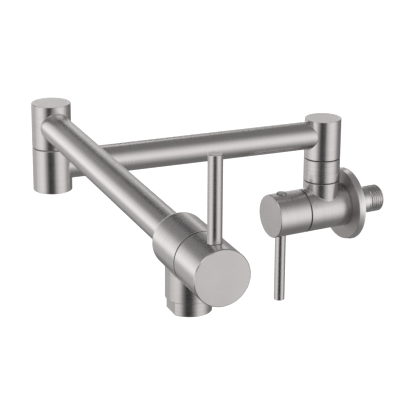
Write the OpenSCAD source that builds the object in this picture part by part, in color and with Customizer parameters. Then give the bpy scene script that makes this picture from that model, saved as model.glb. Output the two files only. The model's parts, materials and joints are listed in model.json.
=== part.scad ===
// Wall mounted pot filler: a double jointed tap whose two arms fold out from a wall valve.
// The origin is where the inlet's axis meets the wall, the wall is the plane y = 0,
// the arms reach towards -Y and the inlet goes into the wall towards +Y.

/* [Inlet] */
// Outside diameter of the G 1/2 inlet thread
thread_d = 20.955; // [20.6:0.005:21.4]
// Depth of the inlet's waist inside the flange
waist_step = 0.375; // [0.2:0.005:0.8]
// Length of the inlet behind the wall
inlet_len = 29.2; // [20:0.1:60]
// Diameter of the inlet's water way
inlet_bore_d = 15; // [10:0.5:16]
// Chamfer at the thread's end
thread_chamfer = 0.8; // [0.3:0.1:1.5]

/* [Wall flange] */
// Diameter of the flange at the wall
flange_d = 56.5; // [48:0.5:80]
// Thickness of the flange
flange_t = 5.2; // [4:0.1:8]
// Height of the flange's straight rim
rim_h = 1.2; // [0.6:0.1:2]
// Width of the rounded bevel around the flange's face
bevel_w = 2.4; // [1:0.1:5]
// Thickness of the gasket in the flange's back
gasket_t = 1.6; // [1:0.1:2.4]
// Width of the flange's rim around the gasket
gasket_margin = 2.4; // [1.5:0.1:5]

/* [Valves] */
// Diameter of both valve bodies and both handle hubs
valve_d = 33.6; // [31:0.1:40]
// Wall of both valve bodies around their cartridges
body_wall = 4.3; // [3.5:0.1:5]
// Distance from the wall to the seam behind the first handle
wall_seam_y = 41.4; // [40:0.1:52]
// Length of the spout valve's body
spout_body_len = 36.4; // [32:0.1:50]
// Radius of the spout body's back shoulder
shoulder_r = 2; // [0.5:0.1:3]
// Depth of the cavity that holds a cartridge
cavity_depth = 25; // [22:0.1:28]
// Diameter of the water ports in the bodies
port_d = 9; // [6:0.5:9]

/* [Handles] */
// Length of the first handle's hub
wall_hub_len = 27.5; // [26:0.1:34]
// Distance from the first lever's axis to its hub's face
wall_lever_inset = 9.5; // [7:0.1:12]
// Distance from the first valve's axis to its lever's tip
wall_lever_reach = 69.8; // [45:0.1:100]
// Length of the second handle's hub
spout_hub_len = 30.5; // [27:0.1:34]
// Distance from the second lever's axis to its hub's face
spout_lever_inset = 11.9; // [9:0.1:14]
// Distance from the second valve's axis to its lever's tip
spout_lever_reach = 67.3; // [45:0.1:100]
// Diameter of the lever rods
lever_d = 8.4; // [7:0.1:10]
// Diameter of the plug over the set screw
plug_d = 8; // [6.5:0.1:9]
// How far the plug stands proud of its hub
plug_proud = 0.8; // [0.3:0.1:1.5]
// Chamfer around a hub's flat face
hub_chamfer = 0.5; // [0.2:0.1:1.2]

/* [Riser] */
// Diameter of the riser, the barrels and the outlet
barrel_d = 28; // [26:0.1:31]
// How far the riser's axis lies in front of the middle of the wall body
riser_offset = 0.3; // [-0.2:0.1:1]
// Height of the seam under the collar
collar_z = 23.2; // [22:0.1:30]
// Height of the collar
collar_h = 18; // [10:0.1:40]
// Height of the first arm's barrel
barrel_h = 31; // [29.5:0.1:40]
// Height of the first arm's axis over the bottom of its barrel
inner_rise = 18.4; // [17.2:0.1:19.4]

/* [Arms] */
// Distance from the riser's axis to the elbow's axis
inner_len = 216; // [120:1:320]
// Distance from the elbow's axis to the seam behind the second handle
outer_len = 290; // [180:1:400]
// Outside diameter of the arm tubes
tube_d = 21.2; // [18:0.1:22]
// Wall of the arm tubes
tube_wall = 1.5; // [1:0.1:2.5]
// Height of each half of the elbow
elbow_h = 32; // [31:0.1:40]
// Height of the first arm's axis over the bottom of the elbow
elbow_drop = 17.6; // [15:0.1:19]
// Height of the second arm's axis over the elbow's seam
outer_rise = 16.4; // [16.2:0.1:19.4]
// Swing of the first arm from straight out of the wall
inner_angle = -6; // [-84:1:84]
// Swing of the second arm from the line of the first
outer_angle = 89.05; // [-170:0.05:170]

/* [Outlet] */
// Distance from the outlet's side to the back of the spout body
outlet_margin = 3.2; // [0.5:0.1:4]
// Height of the outlet tube between the spout body and the aerator's ring
outlet_len = 11.9; // [9.5:0.1:40]
// Step from the outlet tube in to the aerator's ring
aerator_step = 0.7; // [0.5:0.05:1.4]
// Height of the aerator's ring
aerator_h = 8.1; // [6:0.1:12]
// Depth of the aerator's two wrench flats
flat_depth = 1.9; // [0.5:0.05:2]

/* [Seams and fits] */
// Height of each visible seam
seam = 0.7; // [0.4:0.05:1]
// How deep a seam's ring lies behind the surface
seam_recess = 0.7; // [0.4:0.1:1]
// Chamfer along the seams
edge_chamfer = 0.3; // [0.1:0.05:0.4]
// Radial gap between pieces that turn on each other
run_gap = 0.08; // [0.06:0.01:0.1]
// Gap between pieces that are screwed, pressed or brazed together
fit_gap = 0.05; // [0.03:0.01:0.06]

/* [Hidden] */
$fn = 96;

// One overrun serves every cut
over = 1;
steel = "#bab6b4";
dark = "#3a3836";
brass = "#b5a264";
ceramic = "#e8e4da";
rubber = "#222222";
plastic = "#4a4a4c";

// Heights and places that follow from the sizes above
valve_r = valve_d / 2;
barrel_r = barrel_d / 2;
riser_y = (flange_t + wall_seam_y) / 2 + riser_offset;
swivel_z = collar_z + collar_h;
inner_z = swivel_z + inner_rise;
elbow_bottom_z = inner_z - elbow_drop;
elbow_z = elbow_bottom_z + elbow_h;
outer_z = elbow_z + outer_rise;
mouth_z = outer_z - valve_r - outlet_len;
outlet_z = mouth_z - aerator_h;
outlet_back = spout_body_len - barrel_r - outlet_margin;
cavity_d = valve_d - body_wall * 2;

// Sizes inside the inlet and the wall body
waist_d = thread_d - waist_step * 2;
inlet_web = 2.2;
socket_depth = wall_seam_y - flange_t - cavity_depth - inlet_web;
socket_end_gap = 0.3;

// Sizes of the swivel posts, their seals and their clips
post_d = 16;
post_wall = 3.2;
post_bore_d = post_d - post_wall * 2;
post_floor = 9;
post_lip = 3.6;
post_top = post_floor + post_lip;
seal_sides = 32;
seal_d = 1.8;
seal_squeeze = 0.05;
seal_groove_h = 2.2;
seal_heights = [2.8, 6.3];
clip_t = 1;
clip_lift = 0.1;
clip_depth = 1;
clip_margin = 1.25;
clip_opening = 9;
chamber_wall = 3;
chamber_d = barrel_d - chamber_wall * 2;
cap_t = 3;
riser_web = 2.7;
riser_socket_depth = collar_z - cavity_d / 2 - riser_web;
elbow_socket_depth = 8.8;
elbow_floor = 6;
elbow_well_depth = elbow_h - elbow_floor;
well_ledge = 1;
well_d = post_d - well_ledge * 2;

// Sizes of a ceramic cartridge, measured from the seam down into the body
housing_wall = 2.9;
housing_top = 3.5;
housing_web = 4;
waist_depth = 1.4;
waist_foot = 2.5;
waist_low = cavity_depth - waist_foot;
waist_high = 8;
window_d = 6;
window_depth = 11.5;
seat_t = 1.6;
seat_wall = 1.8;
disc_t = 2.8;
port_inner_share = 0.22;
port_outer_share = 0.78;
port_angle = 78;
foot_t = 2.4;
stem_d = 8;
stem_top = 22;
stem_flat = 0.6;
stem_flat_len = 10;
stem_seal_d = 1.4;
stem_seal_depth = 5.5;
stem_groove_h = 1.8;
nut_gap = 1.5;
nut_bore_d = stem_d + nut_gap * 2;
nut_slot_w = 2.4;
nut_slot_depth = 1.6;

// Sizes inside a handle
hub_skirt_wall = 4;
hub_skirt_depth = 9;
stem_end_gap = 0.3;
stud_d = 5.5;
stud_sink = 9.8;
stud_inner_r = valve_r - stud_sink;
stud_grip = 8;
seat_drop = 1;
seat_gap = 0.3;
seat_margin = 0.5;
lever_chamfer = 0.5;
screw_d = 5;
screw_sink = 4.8;
screw_outer_r = valve_r - screw_sink;
screw_key_d = 2.9;
screw_key_depth = 3;
screw_key_sides = 6;
plug_stem_gap = 0.3;
plug_seat_drop = 0.8;
plug_edge = 0.3;

// Sizes inside the outlet
outlet_wall = 2.3;
outlet_bore_d = barrel_d - outlet_wall * 2;
outlet_ledge_h = 2;
aerator_d = barrel_d - aerator_step * 2;
flats_w = aerator_d - flat_depth * 2;
aerator_spigot_h = 5;
aerator_spigot_wall = 1.8;
aerator_lip = 1.6;
aerator_recess = 1.8;
aerator_chamfer = 0.5;
insert_h = 8;
insert_shell = 1.2;
insert_plate_t = 2;
insert_hole_d = 1.7;
insert_margin = 0.3;
insert_rings = 3;
insert_ring_holes = 6;
washer_t = 1.6;
washer_lip = 1.85;
ledge_gap = 0.5;

// Sizes inside the back of the spout body
spout_web = 3.2;
tube_grip = spout_body_len - cavity_depth - spout_web;

// A rod or disc along the local Z axis, from height z0 to z1
module rod(d, z0, z1) {
    translate([0, 0, z0]) cylinder(d = d, h = z1 - z0);
}

// A ring along the local Z axis
module ring(outer_d, inner_d, z0, z1) {
    difference() {
        rod(outer_d, z0, z1);
        rod(inner_d, z0 - over, z1 + over);
    }
}

// A solid of revolution with a chamfer of its own at each end
module edged_rod(d, z0, z1, low, high) {
    r = d / 2;
    rotate_extrude()
        polygon([[0, z0], [r - low, z0], [r, z0 + low], [r, z1 - high], [r - high, z1], [0, z1]]);
}

// A round seal that lies around the local Z axis
module seal_ring(centre_r, section_d, z) {
    translate([0, 0, z])
        rotate_extrude()
            translate([centre_r, 0]) circle(d = section_d, $fn = seal_sides);
}

// Frames: each one places its children on the valve, the swivel or the arm that carries them
module at_wall_valve() {
    translate([0, -wall_seam_y, 0]) rotate([90, 0, 0]) children();
}

module at_riser(z) {
    translate([0, -riser_y, z]) children();
}

module at_inner() {
    translate([0, -riser_y, 0]) rotate([0, 0, inner_angle - 90]) children();
}

module at_outer() {
    at_inner() translate([inner_len, 0, 0]) rotate([0, 0, outer_angle]) children();
}

module at_spout_valve() {
    at_outer() translate([outer_len, 0, outer_z]) rotate([90, 0, 90]) children();
}

// A tube that runs along local X at a height
module arm_tube(x0, x1, z) {
    translate([0, 0, z]) rotate([0, 90, 0]) ring(tube_d, tube_d - tube_wall * 2, x0, x1);
}

// The hole that lets the water through the wall of a barrel into its arm
module arm_port(z) {
    translate([0, 0, z]) rotate([0, 90, 0]) rod(port_d, 0, barrel_r + over);
}

// Swivel: a hollow post with two seals and a clip, in its frame at the seam
seal_floor_d = post_d + (run_gap - fit_gap - seal_d) * 2;
clip_floor_d = post_d - clip_depth * 2;

module swivel_post(lower_len) {
    difference() {
        rod(post_d, -lower_len, post_top);
        rod(post_bore_d, -lower_len - over, post_top + over);
        for (z = seal_heights)
            ring(post_d + over, seal_floor_d, z - seal_groove_h / 2, z + seal_groove_h / 2);
        ring(post_d + over, clip_floor_d, post_floor + fit_gap, post_floor + clip_lift * 2 + clip_t);
    }
}

module swivel_seals() {
    for (z = seal_heights)
        seal_ring(post_d / 2 + run_gap - seal_squeeze - seal_d / 2, seal_d - seal_squeeze, z);
}

module swivel_washer(d) {
    ring(d - seam_recess * 2, post_d + fit_gap * 2, -seam / 2, seam / 2);
}

module swivel_clip() {
    z0 = post_floor + clip_lift;
    difference() {
        ring(chamber_d - clip_margin * 2, clip_floor_d + fit_gap * 2, z0, z0 + clip_t);
        translate([0, -clip_opening / 2, z0 - over])
            cube([chamber_d / 2, clip_opening, clip_t + over * 2]);
    }
}

// A barrel that turns on a swivel post, with its water chamber open at the top
module turning_barrel(h, port_z) {
    difference() {
        edged_rod(barrel_d, seam / 2, h, edge_chamfer, edge_chamfer);
        rod(post_d + run_gap * 2, seam / 2 - over, post_floor + over);
        rod(chamber_d, post_floor, h + over);
        arm_port(port_z);
    }
}

module barrel_cap(h) {
    rod(chamber_d - fit_gap * 2, h - cap_t, h);
}

// Valve: the cavity in a body, and the cartridge that fills it, in the frame at the seam
module valve_cavity(back) {
    rod(cavity_d, -cavity_depth, over);
    rod(port_d, -cavity_depth - back - over, -cavity_depth + over);
}

housing_d = cavity_d - fit_gap * 2;
housing_bore_d = housing_d - housing_wall * 2;
disc_d = housing_bore_d - run_gap * 2;
disc_z = -cavity_depth + seat_t;
moving_z = disc_z + disc_t;
foot_z = moving_z + disc_t;

module seat_seal() {
    ring(disc_d, disc_d - seat_wall * 2, -cavity_depth, disc_z);
}

module cartridge() {
    difference() {
        rod(housing_d, -cavity_depth, -housing_top);
        rod(housing_bore_d, -cavity_depth - over, -housing_top - housing_web);
        rod(stem_d + run_gap * 2, -cavity_depth, over);
        ring(housing_d + over, housing_d - waist_depth * 2, -waist_low, -waist_high);
        for (turn = [0, 90])
            rotate([0, 0, turn])
                translate([0, cavity_d / 2 + over, -window_depth])
                    rotate([90, 0, 0]) cylinder(d = window_d, h = cavity_d + over * 2);
    }
}

module cartridge_nut() {
    top = -seam / 2 - fit_gap;
    difference() {
        ring(housing_d, nut_bore_d, -housing_top, top);
        for (turn = [0, 90])
            rotate([0, 0, turn])
                translate([-cavity_d / 2, -nut_slot_w / 2, top - nut_slot_depth])
                    cube([cavity_d, nut_slot_w, nut_slot_depth + over]);
    }
}

// Two opposite ports, each a part of a ring, from height z0 to z1
module twin_ports(z0, z1) {
    inner_r = disc_d / 2 * port_inner_share;
    outer_r = disc_d / 2 * port_outer_share;
    for (turn = [0, 180])
        rotate([0, 0, turn - port_angle / 2])
            rotate_extrude(angle = port_angle)
                translate([inner_r, z0]) square([outer_r - inner_r, z1 - z0]);
}

module ported_disc(z) {
    difference() {
        rod(disc_d, z, z + disc_t);
        twin_ports(z - over, z + disc_t + over);
    }
}

// The moving disc lies a quarter turn from the fixed one, so the valve is shut at rest
module moving_disc() {
    rotate([0, 0, 90]) ported_disc(moving_z);
}

// The stem's slotted foot turns the moving disc and lets the water out to the housing's windows
module stem() {
    difference() {
        union() {
            difference() {
                rod(disc_d, foot_z, foot_z + foot_t);
                rotate([0, 0, 90]) twin_ports(foot_z - over, foot_z + foot_t + over);
            }
            edged_rod(stem_d, foot_z + foot_t / 2, stem_top, 0, edge_chamfer);
        }
        ring(stem_d + over, stem_seal_floor_d, -stem_seal_depth - stem_groove_h / 2,
             -stem_seal_depth + stem_groove_h / 2);
        translate([-stem_d / 2, -stem_d / 2 - over, stem_top - stem_flat_len])
            cube([stem_d, stem_flat + over, stem_flat_len + over]);
    }
}

stem_seal_floor_d = stem_d + (run_gap - fit_gap - stem_seal_d) * 2;

module stem_seal() {
    centre_r = stem_d / 2 + run_gap - seal_squeeze - stem_seal_d / 2;
    seal_ring(centre_r, stem_seal_d - seal_squeeze, -stem_seal_depth);
}

// Handle: a hub with its lever towards local +Y and its set screw and plug opposite
module hub_ring() {
    ring(valve_d - seam_recess * 2, valve_d - hub_skirt_wall * 2, -seam / 2 + fit_gap, seam / 2);
}

lever_seat_r = valve_r - seat_drop;
plug_seat_r = valve_r - plug_seat_drop;

module radial(z) {
    translate([0, 0, z]) rotate([-90, 0, 0]) children();
}

module hub(len, inset) {
    lever_z = len - inset;
    difference() {
        edged_rod(valve_d, seam / 2, len, edge_chamfer, hub_chamfer);
        rod(valve_d - hub_skirt_wall * 2, seam / 2 - over, hub_skirt_depth);
        rod(stem_d + fit_gap * 2, 0, stem_top + stem_end_gap);
        radial(lever_z) {
            rod(stud_d + fit_gap * 2, stud_inner_r - seat_gap, valve_r + over);
            rod(lever_d + seat_margin * 2, lever_seat_r, valve_r + over);
            rod(screw_d + fit_gap * 2, -valve_r - over, 0);
            rod(plug_d + fit_gap * 2, -valve_r - over, -plug_seat_r);
        }
    }
}

module lever(z, reach) {
    start = lever_seat_r + seat_gap;
    radial(z) difference() {
        edged_rod(lever_d, start, reach, lever_chamfer, lever_chamfer);
        rod(stud_d + fit_gap * 2, start - over, start + stud_grip + seat_gap);
    }
}

module lever_stud(z) {
    radial(z) rod(stud_d, stud_inner_r, lever_seat_r + seat_gap + stud_grip);
}

module set_screw(z) {
    tip = stem_d / 2 - stem_flat + fit_gap;
    radial(z) difference() {
        rod(screw_d, -screw_outer_r, -tip);
        translate([0, 0, -screw_outer_r - over])
            cylinder(d = screw_key_d, h = screw_key_depth + over, $fn = screw_key_sides);
    }
}

module screw_plug(z) {
    radial(z) {
        rod(screw_d, -valve_r, -screw_outer_r - plug_stem_gap);
        edged_rod(plug_d, -valve_r - plug_proud, -plug_seat_r, plug_edge, 0);
    }
}

// Fixed pieces at the wall
module inlet_nipple() {
    color(steel) rotate([-90, 0, 0]) difference() {
        union() {
            rod(thread_d, -flange_t - socket_depth + socket_end_gap, -flange_t);
            rod(waist_d, -flange_t, 0);
            edged_rod(thread_d, 0, inlet_len, 0, thread_chamfer);
        }
        rod(inlet_bore_d, -flange_t - socket_depth - over, inlet_len + over);
    }
}

module wall_flange() {
    face_r = flange_d / 2 - bevel_w;
    bevel_h = flange_t - rim_h;
    bevel_steps = 12;
    bevel = [for (i = [0 : bevel_steps])
        let (turn = 90 * i / bevel_steps)
        [face_r + bevel_w * cos(turn), rim_h + bevel_h * sin(turn)]];
    color(steel) rotate([90, 0, 0]) difference() {
        rotate_extrude()
            polygon(concat([[thread_d / 2 + fit_gap, 0], [flange_d / 2, 0]], bevel,
                           [[thread_d / 2 + fit_gap, flange_t]]));
        rod(flange_d - gasket_margin * 2, -over, gasket_t);
    }
}

module wall_gasket() {
    color(rubber) rotate([90, 0, 0])
        ring(flange_d - gasket_margin * 2 - fit_gap * 2, thread_d + fit_gap * 2, 0, gasket_t);
}

module wall_valve_body() {
    color(steel) difference() {
        union() {
            at_wall_valve()
                edged_rod(valve_d, -wall_seam_y + flange_t, -seam / 2, edge_chamfer * 2, edge_chamfer);
            at_riser(0) edged_rod(barrel_d, 0, collar_z - seam / 2, edge_chamfer, edge_chamfer);
        }
        at_wall_valve() {
            valve_cavity(0);
            rod(thread_d + fit_gap * 2, -wall_seam_y, -wall_seam_y + flange_t + socket_depth);
            rod(port_d, -wall_seam_y, -cavity_depth + over);
        }
        at_riser(0) {
            rod(port_d, 0, collar_z);
            rod(post_d + fit_gap * 2, collar_z - riser_socket_depth, collar_z + over);
        }
    }
}

module wall_seat_seal() { color(rubber) at_wall_valve() seat_seal(); }
module wall_cartridge() { color(brass) at_wall_valve() cartridge(); }
module wall_cartridge_nut() { color(brass) at_wall_valve() cartridge_nut(); }
module wall_fixed_disc() { color(ceramic) at_wall_valve() ported_disc(disc_z); }

module collar_gasket() { color(dark) at_riser(collar_z) swivel_washer(barrel_d); }

module riser_collar() {
    color(steel) at_riser(collar_z) difference() {
        edged_rod(barrel_d, seam / 2, collar_h - seam / 2, edge_chamfer, edge_chamfer);
        rod(post_d + fit_gap * 2, -over, collar_h + over);
    }
}

module riser_post() {
    color(brass) at_riser(swivel_z) swivel_post(collar_h + riser_socket_depth - socket_end_gap);
}

module riser_seals() { color(rubber) at_riser(swivel_z) swivel_seals(); }
module riser_washer() { color(dark) at_riser(swivel_z) swivel_washer(barrel_d); }
module riser_clip() { color(steel) at_riser(swivel_z) swivel_clip(); }

// First handle
wall_lever_z = wall_hub_len - wall_lever_inset;

module wall_handle() {
    at_wall_valve() rotate([0, 0, 180]) children();
}

module wall_hub_ring() { color(dark) wall_handle() hub_ring(); }
module wall_handle_hub() { color(steel) wall_handle() hub(wall_hub_len, wall_lever_inset); }
module wall_handle_lever() { color(steel) wall_handle() lever(wall_lever_z, wall_lever_reach); }
module wall_handle_stud() { color(dark) wall_handle() lever_stud(wall_lever_z); }
module wall_handle_screw() { color(dark) wall_handle() set_screw(wall_lever_z); }
module wall_handle_plug() { color(steel) wall_handle() screw_plug(wall_lever_z); }
module wall_stem() { color(brass) wall_handle() stem(); }
module wall_stem_seal() { color(rubber) wall_handle() stem_seal(); }
module wall_moving_disc() { color(ceramic) wall_handle() moving_disc(); }

// First arm
module inner_barrel() {
    color(steel) at_inner() translate([0, 0, swivel_z]) turning_barrel(barrel_h, inner_rise);
}

module inner_barrel_cap() {
    color(steel) at_inner() translate([0, 0, swivel_z]) barrel_cap(barrel_h);
}

module inner_tube() {
    mouth_d = barrel_d + fit_gap * 2;
    color(steel) at_inner() difference() {
        arm_tube(0, inner_len, inner_z);
        for (x = [0, inner_len])
            translate([x, 0, 0]) rod(mouth_d, inner_z - tube_d, inner_z + tube_d);
    }
}

module elbow_lower_barrel() {
    color(steel) at_inner() translate([inner_len, 0, 0]) difference() {
        edged_rod(barrel_d, elbow_bottom_z, elbow_z - seam / 2, edge_chamfer, edge_chamfer);
        rod(post_d + fit_gap * 2, elbow_z - elbow_socket_depth, elbow_z + over);
        rod(well_d, elbow_z - elbow_well_depth, elbow_z);
        rotate([0, 0, 180]) arm_port(inner_z);
    }
}

module elbow_post() {
    color(brass) at_inner() translate([inner_len, 0, elbow_z]) swivel_post(elbow_socket_depth - fit_gap);
}

module elbow_seals() {
    color(rubber) at_inner() translate([inner_len, 0, elbow_z]) swivel_seals();
}

module elbow_washer() {
    color(dark) at_inner() translate([inner_len, 0, elbow_z]) swivel_washer(barrel_d);
}

module elbow_clip() {
    color(steel) at_inner() translate([inner_len, 0, elbow_z]) swivel_clip();
}

// Second arm
module elbow_upper_barrel() {
    color(steel) at_outer() translate([0, 0, elbow_z]) turning_barrel(elbow_h, outer_rise);
}

module elbow_cap() {
    color(steel) at_outer() translate([0, 0, elbow_z]) barrel_cap(elbow_h);
}

spout_back = outer_len - spout_body_len;

module outer_tube() {
    color(steel) at_outer() difference() {
        arm_tube(0, spout_back + tube_grip - fit_gap, outer_z);
        rod(barrel_d + fit_gap * 2, outer_z - tube_d, outer_z + tube_d);
    }
}

module spout_shell() {
    back = -spout_body_len;
    shoulder_steps = 8;
    shoulder = [for (i = [0 : shoulder_steps])
        let (turn = 90 * i / shoulder_steps)
        [valve_r - shoulder_r + shoulder_r * sin(turn), back + shoulder_r - shoulder_r * cos(turn)]];
    front = -seam / 2;
    rotate_extrude()
        polygon(concat([[0, back]], shoulder,
                       [[valve_r, front - edge_chamfer], [valve_r - edge_chamfer, front], [0, front]]));
}

module spout_valve_body() {
    color(steel) at_spout_valve() difference() {
        spout_shell();
        valve_cavity(spout_body_len - cavity_depth);
        rod(tube_d + fit_gap * 2, -spout_body_len - over, -spout_body_len + tube_grip);
        translate([0, 0, -outlet_back]) rotate([90, 0, 0]) rod(port_d, 0, valve_r + over);
    }
}

module spout_seat_seal() { color(rubber) at_spout_valve() seat_seal(); }
module spout_cartridge() { color(brass) at_spout_valve() cartridge(); }
module spout_cartridge_nut() { color(brass) at_spout_valve() cartridge_nut(); }
module spout_fixed_disc() { color(ceramic) at_spout_valve() ported_disc(disc_z); }

// Outlet
module at_outlet() {
    at_outer() translate([outer_len - outlet_back, 0, 0]) children();
}

washer_z = mouth_z + aerator_spigot_h;
ledge_z = washer_z + washer_t;
spigot_d = outlet_bore_d - fit_gap * 2;
insert_d = spigot_d - aerator_spigot_wall * 2;
insert_z = outlet_z + aerator_recess;
insert_pitch = (insert_d / 2 - insert_shell - insert_hole_d / 2 - insert_margin) / insert_rings;
washer_inner_d = insert_d - washer_lip * 2;

module outlet_tube() {
    color(steel) at_outer() difference() {
        translate([outer_len - outlet_back, 0, 0]) difference() {
            edged_rod(barrel_d, mouth_z, outer_z, edge_chamfer, 0);
            rod(outlet_bore_d, mouth_z - over, ledge_z);
            rod(washer_inner_d + ledge_gap * 2, mouth_z, ledge_z + outlet_ledge_h);
            rod(port_d, ledge_z, outer_z + over);
        }
        translate([spout_back - over, 0, outer_z])
            rotate([0, 90, 0]) cylinder(d = valve_d + fit_gap * 2, h = spout_body_len + over * 2);
    }
}

module aerator_housing() {
    color(steel) at_outlet() difference() {
        union() {
            intersection() {
                edged_rod(aerator_d, outlet_z, mouth_z, aerator_chamfer, 0);
                translate([-aerator_d / 2, -flats_w / 2, outlet_z]) cube([aerator_d, flats_w, aerator_h]);
            }
            rod(spigot_d, mouth_z, washer_z - fit_gap);
        }
        rod(insert_d - aerator_lip, outlet_z - over, insert_z + over);
        rod(insert_d, insert_z, washer_z + over);
    }
}

// The insert straightens the flow through rings of small holes around a centre one
module aerator_insert() {
    z1 = insert_z + insert_h;
    color(plastic) at_outlet() difference() {
        rod(insert_d - fit_gap * 2, insert_z, z1);
        rod(insert_d - insert_shell * 2, insert_z + insert_plate_t, z1 + over);
        rod(insert_hole_d, insert_z - over, z1);
        for (k = [1 : insert_rings], i = [0 : k * insert_ring_holes - 1])
            rotate([0, 0, 360 * i / k / insert_ring_holes])
                translate([k * insert_pitch, 0, 0]) rod(insert_hole_d, insert_z - over, z1);
    }
}

module aerator_washer() {
    color(rubber) at_outlet() ring(spigot_d, washer_inner_d, washer_z, ledge_z);
}

// Second handle
spout_lever_z = spout_hub_len - spout_lever_inset;

module spout_hub_ring() { color(dark) at_spout_valve() hub_ring(); }
module spout_handle_hub() { color(steel) at_spout_valve() hub(spout_hub_len, spout_lever_inset); }
module spout_handle_lever() { color(steel) at_spout_valve() lever(spout_lever_z, spout_lever_reach); }
module spout_handle_stud() { color(dark) at_spout_valve() lever_stud(spout_lever_z); }
module spout_handle_screw() { color(dark) at_spout_valve() set_screw(spout_lever_z); }
module spout_handle_plug() { color(steel) at_spout_valve() screw_plug(spout_lever_z); }
module spout_stem() { color(brass) at_spout_valve() stem(); }
module spout_stem_seal() { color(rubber) at_spout_valve() stem_seal(); }
module spout_moving_disc() { color(ceramic) at_spout_valve() moving_disc(); }

inlet_nipple();
wall_flange();
wall_gasket();
wall_valve_body();
wall_seat_seal();
wall_cartridge();
wall_cartridge_nut();
wall_fixed_disc();
collar_gasket();
riser_collar();
riser_post();
riser_seals();
riser_washer();
riser_clip();
wall_hub_ring();
wall_handle_hub();
wall_handle_lever();
wall_handle_stud();
wall_handle_screw();
wall_handle_plug();
wall_stem();
wall_stem_seal();
wall_moving_disc();
inner_barrel();
inner_barrel_cap();
inner_tube();
elbow_lower_barrel();
elbow_post();
elbow_seals();
elbow_washer();
elbow_clip();
elbow_upper_barrel();
elbow_cap();
outer_tube();
spout_valve_body();
spout_seat_seal();
spout_cartridge();
spout_cartridge_nut();
spout_fixed_disc();
outlet_tube();
aerator_housing();
aerator_insert();
aerator_washer();
spout_hub_ring();
spout_handle_hub();
spout_handle_lever();
spout_handle_stud();
spout_handle_screw();
spout_handle_plug();
spout_stem();
spout_stem_seal();
spout_moving_disc();
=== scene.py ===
import json
import logging
import math
from dataclasses import dataclass, replace
from enum import Enum
from functools import partial
from typing import Callable, Optional, Sequence, Union

import bmesh
import bpy
import numpy as np
from mathutils import Matrix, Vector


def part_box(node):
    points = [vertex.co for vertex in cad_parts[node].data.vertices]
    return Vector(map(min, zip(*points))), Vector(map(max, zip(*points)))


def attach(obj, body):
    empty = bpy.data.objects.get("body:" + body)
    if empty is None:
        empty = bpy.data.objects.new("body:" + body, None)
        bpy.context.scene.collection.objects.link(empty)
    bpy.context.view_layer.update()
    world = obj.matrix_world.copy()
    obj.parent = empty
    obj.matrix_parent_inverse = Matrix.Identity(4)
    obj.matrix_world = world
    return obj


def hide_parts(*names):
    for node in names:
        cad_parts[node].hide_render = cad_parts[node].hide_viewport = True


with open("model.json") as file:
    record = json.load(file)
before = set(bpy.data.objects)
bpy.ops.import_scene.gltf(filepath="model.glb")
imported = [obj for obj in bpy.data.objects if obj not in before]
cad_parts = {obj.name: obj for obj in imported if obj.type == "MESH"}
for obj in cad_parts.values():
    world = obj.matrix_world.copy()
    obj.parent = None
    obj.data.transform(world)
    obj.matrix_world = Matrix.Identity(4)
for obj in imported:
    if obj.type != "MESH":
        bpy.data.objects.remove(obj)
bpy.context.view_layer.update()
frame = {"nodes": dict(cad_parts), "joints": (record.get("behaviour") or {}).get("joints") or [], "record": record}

MM = 0.001
TAU = 2 * math.pi
UP, DOWN = (0.0, 0.0, 1.0), (0.0, 0.0, -1.0)
WHITE = (1.0, 1.0, 1.0, 1.0)

# Meshing: the sharp angle is in degrees and the weld's distance in metres.
SEGMENTS = 128
ROD_SEGMENTS = 64
ARC_STEPS = 5
SUPPORT_SHARE = 0.3
SHARP_ANGLE = 28.0
WELD_DISTANCE = 1e-6
SIDE_SHARES = (0.004, 0.25, 0.5, 0.75, 0.996)
OPENING_SHARES = (0, 0.04, 0.2, 0.5, 1.0)
HOLE_WALL_LEVELS = (0, 0.06, 0.94, 1)
HOLE_FLOOR_SHARES = (0.95, 0)

# Edges and gaps that many pieces share, in millimetres. The rebate is the seam behind a hub.
FINE_GAP = 0.02
FINE_EDGE = 0.1
SOFT_EDGE = 0.15
REBATE = 0.2
REBATE_DEPTH = 0.9

# Noise: the middle of its range, its details, and how many grains wide a cloud is.
NOISE_MIDDLE = 0.5
FINE_DETAIL, CLOUD_DETAIL, COARSE_DETAIL = 3.0, 2.0, 1.0
CLOUD_GRAINS = 12.0

log = logging.getLogger("pot_filler")
Array = np.ndarray
Object = bpy.types.Object
Socket = bpy.types.NodeSocket
Number = Union[float, "Value"]
Colour = tuple[float, float, float]
Corner = tuple[float, float, float]


# Placing and measuring

@dataclass(frozen=True)
class Placement:
    """A sub-assembly's own axes in the part's frame, in millimetres.

    The rows of `axes` are x, y and z. Pieces are turned about z, and y is the side that a lever
    or a branch stands on.
    """

    origin: Array
    axes: Array

    @classmethod
    def along(cls, origin: Sequence[float], z: Sequence[float], y: Sequence[float]) -> "Placement":
        """Makes a placement from a point, the turning axis and the side axis."""
        return cls(np.asarray(origin, float), np.array([np.cross(y, z), y, z], float))

    @property
    def y(self) -> Array:
        """The side axis."""
        return self.axes[1]

    @property
    def z(self) -> Array:
        """The turning axis."""
        return self.axes[2]

    def out(self, points: Array) -> Array:
        """Carries local points to the part's frame: origin + x X + y Y + z Z."""
        return self.origin + points @ self.axes

    def into(self, points: Array) -> Array:
        """Carries points of the part's frame to local ones."""
        return (points - self.origin) @ self.axes.T


@dataclass(frozen=True)
class Extent:
    """How far a solid reaches along a placement's z axis, and from that axis, in millimetres."""

    low: float
    high: float
    radius: float

    @property
    def middle(self) -> float:
        """The height halfway between both ends."""
        return (self.low + self.high) / 2


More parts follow.
